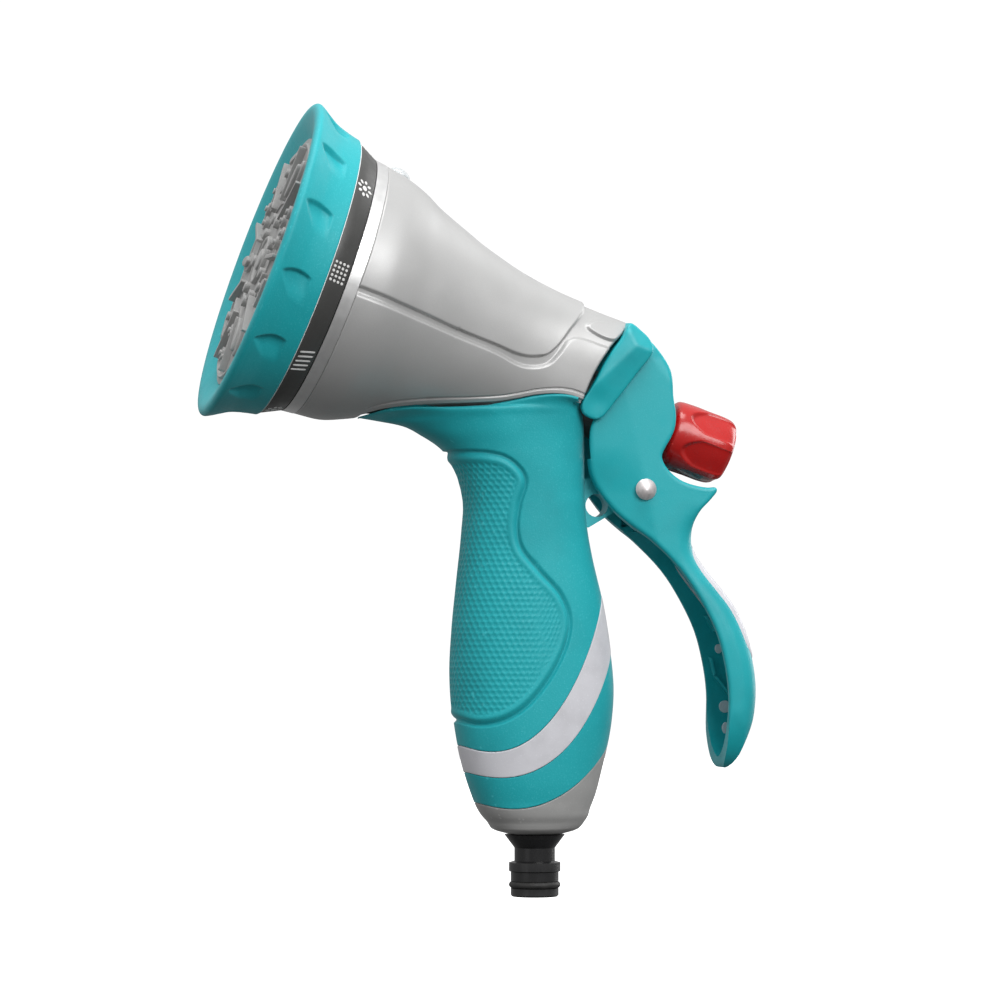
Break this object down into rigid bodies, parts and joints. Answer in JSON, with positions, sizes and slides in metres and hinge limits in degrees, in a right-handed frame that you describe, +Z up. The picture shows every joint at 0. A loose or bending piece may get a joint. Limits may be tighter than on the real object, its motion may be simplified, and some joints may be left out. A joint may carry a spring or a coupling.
{
  "type": "hose spray gun",
  "caption": "Hand-held hose spray gun with a rotating pattern head, rear squeeze trigger, flow knob and a quick-connect hose spigot.",
  "frame": {"origin": "centre of the hose spigot's end face, where the hose connector goes on", "axes": "+Z up along the spigot and handle, -X to the front, where the head sprays forward and 19.5 degrees up, Y across the gun"},
  "size_m": [0.1836, 0.1086, 0.2596],
  "materials": {
    "silver_shell": "satin silver paint over moulded plastic",
    "bright_trim": "satin plated ring",
    "teal_plastic": "satin moulded teal",
    "teal_soft": "soft-touch matte teal",
    "pale_stripe": "pale grey",
    "grey_plastic": "satin mid grey",
    "dark_plastic": "dark grey satin",
    "white_print": "white print",
    "clear_pointer": "milky clear",
    "black_plastic": "black satin",
    "inner_plastic": "unpainted moulding",
    "seal_rubber": "black seal rubber",
    "steel": "bright stainless",
    "red_plastic": "semi-gloss red"
  },
  "bodies": {
    "gun_body": {"barrel_shell_left": "silver_shell", "barrel_shell_right": "silver_shell", "trim_ring": "bright_trim", "front_bulkhead": "inner_plastic", "pattern_pointer": "clear_pointer", "rear_shroud": "teal_plastic", "handle_core": "inner_plastic", "grip_sleeve_upper": "teal_soft", "grip_stripe": "pale_stripe", "grip_sleeve_lower": "teal_soft", "grip_pad_left": "teal_soft", "grip_pad_right": "teal_soft", "handle_end_cap": "grey_plastic", "hose_spigot": "black_plastic", "spigot_oring": "seal_rubber", "spigot_gasket": "seal_rubber", "inlet_screen": "steel", "water_tube": "inner_plastic", "valve_housing": "inner_plastic", "valve_gland": "inner_plastic", "gland_oring": "seal_rubber", "valve_spring": "steel", "waterway_tube": "inner_plastic", "port_seal": "seal_rubber", "port_spring": "steel", "detent_ball": "steel", "detent_spring": "steel", "hub_screw": "steel", "pivot_bracket": "teal_plastic", "pivot_pin": "steel"},
    "dial": {"bezel_grip": "teal_soft", "dial_ring": "dark_plastic", "dial_icons": "white_print", "spray_face": "grey_plastic", "selector_disc": "inner_plastic"},
    "trigger": {"trigger_lever": "teal_plastic", "trigger_inlay": "pale_stripe"},
    "stem": {"valve_stem": "steel", "valve_seal": "seal_rubber"},
    "knob": {"flow_knob": "red_plastic"}
  },
  "joints": [
    {"name": "dial_turn", "type": "hinge", "parent": "gun_body", "child": "dial", "pos_m": [-0.0764, 0, 0.203], "axis": [0.9426, 0, -0.3338], "continuous": true},
    {"name": "trigger_squeeze", "type": "hinge", "parent": "gun_body", "child": "trigger", "pos_m": [0.0345, 0, 0.134], "axis": [0, 1, 0], "range_deg": [0, 14], "stiffness_Nm_per_rad": 1.2, "springref_deg": -8.59},
    {"name": "stem_slide", "type": "slide", "parent": "gun_body", "child": "stem", "axis": [0.9426, 0, -0.3338], "range_m": [0, 0.0056], "deforming": ["valve_spring"]},
    {"name": "knob_turn", "type": "hinge", "parent": "stem", "child": "knob", "pos_m": [0.0445, 0, 0.1538], "axis": [0.9426, 0, -0.3338], "range_deg": [-150, 150]}
  ],
  "couplings": [
    {"joint": "stem_slide", "follows": "trigger_squeeze", "m_per_rad": 0.02202}
  ]
}
